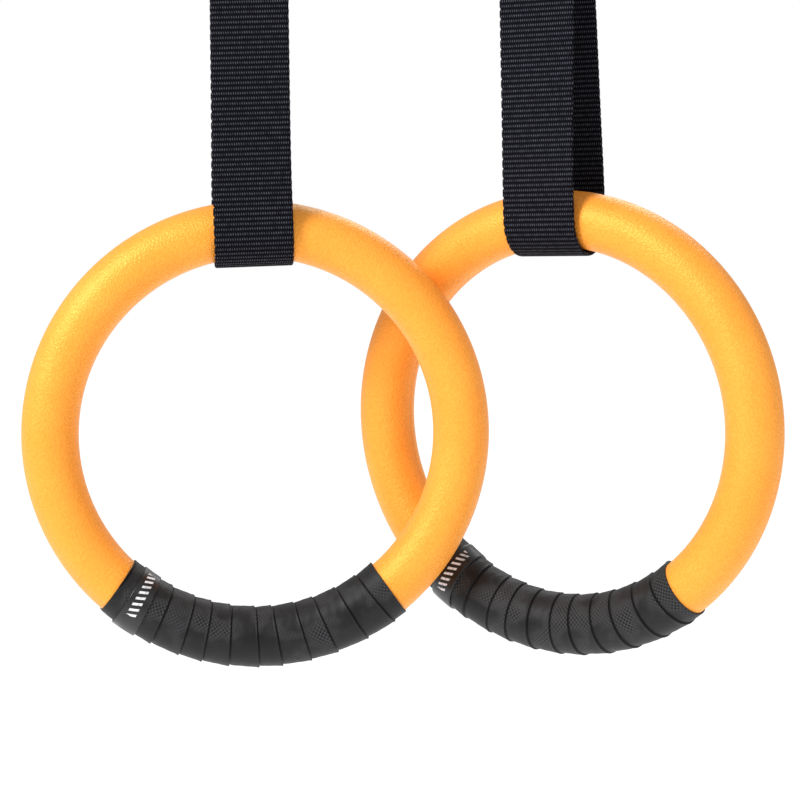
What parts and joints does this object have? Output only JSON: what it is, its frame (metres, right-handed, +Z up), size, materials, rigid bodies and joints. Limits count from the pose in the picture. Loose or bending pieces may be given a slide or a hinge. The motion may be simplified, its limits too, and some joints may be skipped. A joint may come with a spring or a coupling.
{
  "type": "gymnastics rings",
  "caption": "Pair of round gymnastics rings with taped grips, each hung in a loop of webbing with a cam buckle, for one horizontal bar.",
  "frame": {"origin": "on the axis of the bar that the straps hang from, midway between the two rings", "axes": "+Z up, X along the bar, -Y towards the buckles' side"},
  "size_m": [0.3735, 0.1422, 0.5523],
  "materials": {
    "ring_plastic": "moulded orange-yellow plastic with a fine pebbled grain and a soft sheen",
    "grip_tape": "matte dark grey grip tape embossed with fine diamonds",
    "finishing_strip": "glossy black adhesive strip",
    "webbing": "black woven webbing with fine cross ribs",
    "thread": "dark grey bonded sewing thread",
    "buckle_steel": "zinc-plated pressed steel",
    "pin_steel": "turned and riveted steel",
    "cam_metal": "black coated die-cast zinc, worn bright on the teeth",
    "spring_steel": "bright spring wire"
  },
  "bodies": {
    "left_bar_loop": {"left_strap_bar_wrap": "webbing"},
    "right_bar_loop": {"right_strap_bar_wrap": "webbing"},
    "left_strap": {"left_strap_upper_back": "webbing", "left_strap_sewn_end": "webbing", "left_strap_tail": "webbing", "left_strap_keeper": "webbing", "left_stitching": "thread", "left_buckle_frame": "buckle_steel", "left_webbing_pin": "pin_steel", "left_cam_pin": "pin_steel", "left_cam_spring": "spring_steel"},
    "left_cam": {"left_cam_lever": "cam_metal"},
    "left_strap_loop": {"left_strap_saddle": "webbing", "left_strap_front_run": "webbing", "left_strap_back_run": "webbing"},
    "left_ring": {"left_ring_front_shell": "ring_plastic", "left_ring_back_shell": "ring_plastic", "left_grip_tape": "grip_tape", "left_finishing_strip": "finishing_strip"},
    "right_strap": {"right_strap_upper_back": "webbing", "right_strap_sewn_end": "webbing", "right_strap_tail": "webbing", "right_strap_keeper": "webbing", "right_stitching": "thread", "right_buckle_frame": "buckle_steel", "right_webbing_pin": "pin_steel", "right_cam_pin": "pin_steel", "right_cam_spring": "spring_steel"},
    "right_cam": {"right_cam_lever": "cam_metal"},
    "right_strap_loop": {"right_strap_saddle": "webbing", "right_strap_front_run": "webbing", "right_strap_back_run": "webbing"},
    "right_ring": {"right_ring_front_shell": "ring_plastic", "right_ring_back_shell": "ring_plastic", "right_grip_tape": "grip_tape", "right_finishing_strip": "finishing_strip"}
  },
  "joints": [
    {"name": "right_spacing", "type": "slide", "parent": "left_bar_loop", "child": "right_bar_loop", "axis": [1, 0, 0], "range_m": [0, 0.345]},
    {"name": "left_swing", "type": "hinge", "parent": "left_bar_loop", "child": "left_strap", "pos_m": [-0.0713, 0, 0], "axis": [1, 0, 0], "range_deg": [-60, 0]},
    {"name": "left_cam_release", "type": "hinge", "parent": "left_strap", "child": "left_cam", "pos_m": [-0.0713, -0.03025, -0.084], "axis": [1, 0, 0], "range_deg": [0, 30], "stiffness_Nm_per_rad": 0.08, "springref_deg": -20.05},
    {"name": "left_twist", "type": "hinge", "parent": "left_strap", "child": "left_strap_loop", "pos_m": [-0.0713, 0, -0.128], "axis": [0, 0, 1], "range_deg": [-86, 0]},
    {"name": "left_tilt", "type": "hinge", "parent": "left_strap_loop", "child": "left_ring", "pos_m": [-0.07578, 0.0001, -0.31], "axis": [0.998, 0.0628, 0], "range_deg": [-120, 0]},
    {"name": "right_swing", "type": "hinge", "parent": "right_bar_loop", "child": "right_strap", "pos_m": [0.0751, 0, 0], "axis": [1, 0, 0], "range_deg": [0, 60]},
    {"name": "right_cam_release", "type": "hinge", "parent": "right_strap", "child": "right_cam", "pos_m": [0.0751, -0.03025, -0.084], "axis": [1, 0, 0], "range_deg": [0, 30], "stiffness_Nm_per_rad": 0.08, "springref_deg": -20.05},
    {"name": "right_twist", "type": "hinge", "parent": "right_strap", "child": "right_strap_loop", "pos_m": [0.0751, 0, -0.128], "axis": [0, 0, 1], "range_deg": [-57, 0]},
    {"name": "right_tilt", "type": "hinge", "parent": "right_strap_loop", "child": "right_ring", "pos_m": [0.07616, 0.00077, -0.31], "axis": [0.8368, -0.5476, 0], "range_deg": [0, 120]}
  ]
}
